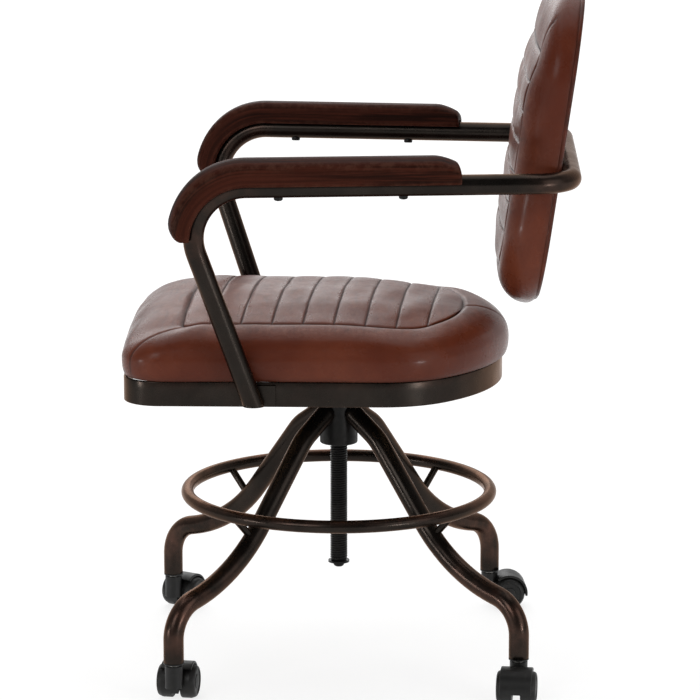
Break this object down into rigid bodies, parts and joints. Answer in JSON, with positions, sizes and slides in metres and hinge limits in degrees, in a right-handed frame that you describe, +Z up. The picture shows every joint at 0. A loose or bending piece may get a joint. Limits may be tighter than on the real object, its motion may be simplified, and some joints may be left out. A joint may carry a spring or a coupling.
{
  "type": "swivel office chair",
  "caption": "Swivel office chair with channelled leather seat and back, bent-tube arms with wooden rests, a screw spindle, bent-tube legs, a foot ring and casters.",
  "frame": {"origin": "on the floor, under the spindle's axis", "axes": "+Z up, the seat faces -Y, +X towards the sitter's left hand; the base stands turned a few degrees from the seat"},
  "size_m": [0.5622, 0.5671, 0.8705],
  "materials": {
    "bronzed_steel": "dark bronzed, rubbed to copper brown on the bends, half gloss",
    "black_steel": "black, satin",
    "bright_steel": "dull steel",
    "caster_plastic": "black, fine satin",
    "wheel_plastic": "black, satin",
    "leather": "reddish brown, polished, worn paler on the top faces",
    "arm_wood": "very dark red-brown stain, waxed, rubbed edges",
    "board": "raw plywood"
  },
  "bodies": {
    "base": {"hub": "black_steel", "spindle_nut": "black_steel", "leg_front_left": "bronzed_steel", "leg_rear_left": "bronzed_steel", "leg_rear_right": "bronzed_steel", "leg_front_right": "bronzed_steel", "caster_sockets": "caster_plastic", "foot_ring": "bronzed_steel", "ring_stubs": "bronzed_steel"},
    "lift": {"stop_washer": "bright_steel"},
    "seat": {"spindle": "black_steel", "stop_bolt": "bright_steel", "seat_band": "bronzed_steel", "seat_crossbars": "black_steel", "seat_plate": "black_steel", "plate_bolts": "bright_steel", "board_screws": "bright_steel", "seat_board": "board", "seat_cushion": "leather", "arm_frame": "bronzed_steel", "arm_tabs": "bronzed_steel", "armrest_left": "arm_wood", "armrest_right": "arm_wood", "armrest_screws": "bright_steel", "backrest_cushion": "leather", "backrest_rear_cover": "leather", "backrest_board": "board", "backrest_t_nuts": "bright_steel", "backrest_brackets": "black_steel", "backrest_screws": "bright_steel"},
    "caster_front_left": {"caster_hood_front_left": "caster_plastic", "caster_stem_front_left": "bright_steel", "caster_axle_front_left": "bright_steel"},
    "wheel_front_left_1": {"caster_wheel_front_left_1": "wheel_plastic"},
    "wheel_front_left_2": {"caster_wheel_front_left_2": "wheel_plastic"},
    "caster_rear_left": {"caster_hood_rear_left": "caster_plastic", "caster_stem_rear_left": "bright_steel", "caster_axle_rear_left": "bright_steel"},
    "wheel_rear_left_1": {"caster_wheel_rear_left_1": "wheel_plastic"},
    "wheel_rear_left_2": {"caster_wheel_rear_left_2": "wheel_plastic"},
    "caster_rear_right": {"caster_hood_rear_right": "caster_plastic", "caster_stem_rear_right": "bright_steel", "caster_axle_rear_right": "bright_steel"},
    "wheel_rear_right_1": {"caster_wheel_rear_right_1": "wheel_plastic"},
    "wheel_rear_right_2": {"caster_wheel_rear_right_2": "wheel_plastic"},
    "caster_front_right": {"caster_hood_front_right": "caster_plastic", "caster_stem_front_right": "bright_steel", "caster_axle_front_right": "bright_steel"},
    "wheel_front_right_1": {"caster_wheel_front_right_1": "wheel_plastic"},
    "wheel_front_right_2": {"caster_wheel_front_right_2": "wheel_plastic"}
  },
  "joints": [
    {"name": "seat_lift", "type": "slide", "parent": "base", "child": "lift", "axis": [0, 0, 1], "range_m": [-0.0215, 0.1505]},
    {"name": "seat_turn", "type": "hinge", "parent": "lift", "child": "seat", "pos_m": [0, 0, 0.4], "axis": [0, 0, 1], "range_deg": [-2520, 18000]},
    {"name": "caster_front_left_swivel", "type": "hinge", "parent": "base", "child": "caster_front_left", "pos_m": [0.22758, -0.19547, 0.047], "axis": [0, 0, 1], "continuous": true},
    {"name": "wheel_front_left_1_spin", "type": "hinge", "parent": "caster_front_left", "child": "wheel_front_left_1", "pos_m": [0.20289, -0.19156, 0.021], "axis": [0.1564, 0.9877, 0], "continuous": true},
    {"name": "wheel_front_left_2_spin", "type": "hinge", "parent": "caster_front_left", "child": "wheel_front_left_2", "pos_m": [0.20289, -0.19156, 0.021], "axis": [0.1564, 0.9877, 0], "continuous": true},
    {"name": "caster_rear_left_swivel", "type": "hinge", "parent": "base", "child": "caster_rear_left", "pos_m": [0.19547, 0.22758, 0.047], "axis": [0, 0, 1], "continuous": true},
    {"name": "wheel_rear_left_1_spin", "type": "hinge", "parent": "caster_rear_left", "child": "wheel_rear_left_1", "pos_m": [0.22033, 0.22496, 0.021], "axis": [-0.1045, -0.9945, 0], "continuous": true},
    {"name": "wheel_rear_left_2_spin", "type": "hinge", "parent": "caster_rear_left", "child": "wheel_rear_left_2", "pos_m": [0.22033, 0.22496, 0.021], "axis": [-0.1045, -0.9945, 0], "continuous": true},
    {"name": "caster_rear_right_swivel", "type": "hinge", "parent": "base", "child": "caster_rear_right", "pos_m": [-0.22758, 0.19547, 0.047], "axis": [0, 0, 1], "continuous": true},
    {"name": "wheel_rear_right_1_spin", "type": "hinge", "parent": "caster_rear_right", "child": "wheel_rear_right_1", "pos_m": [-0.22976, 0.22038, 0.021], "axis": [0.9962, 0.0872, 0], "continuous": true},
    {"name": "wheel_rear_right_2_spin", "type": "hinge", "parent": "caster_rear_right", "child": "wheel_rear_right_2", "pos_m": [-0.22976, 0.22038, 0.021], "axis": [0.9962, 0.0872, 0], "continuous": true},
    {"name": "caster_front_right_swivel", "type": "hinge", "parent": "base", "child": "caster_front_right", "pos_m": [-0.19547, -0.22758, 0.047], "axis": [0, 0, 1], "continuous": true},
    {"name": "wheel_front_right_1_spin", "type": "hinge", "parent": "caster_front_right", "child": "wheel_front_right_1", "pos_m": [-0.21712, -0.21508, 0.021], "axis": [0.5, 0.866, 0], "continuous": true},
    {"name": "wheel_front_right_2_spin", "type": "hinge", "parent": "caster_front_right", "child": "wheel_front_right_2", "pos_m": [-0.21712, -0.21508, 0.021], "axis": [0.5, 0.866, 0], "continuous": true}
  ],
  "couplings": [
    {"joint": "seat_lift", "follows": "seat_turn", "m_per_rad": 0.00047746}
  ]
}
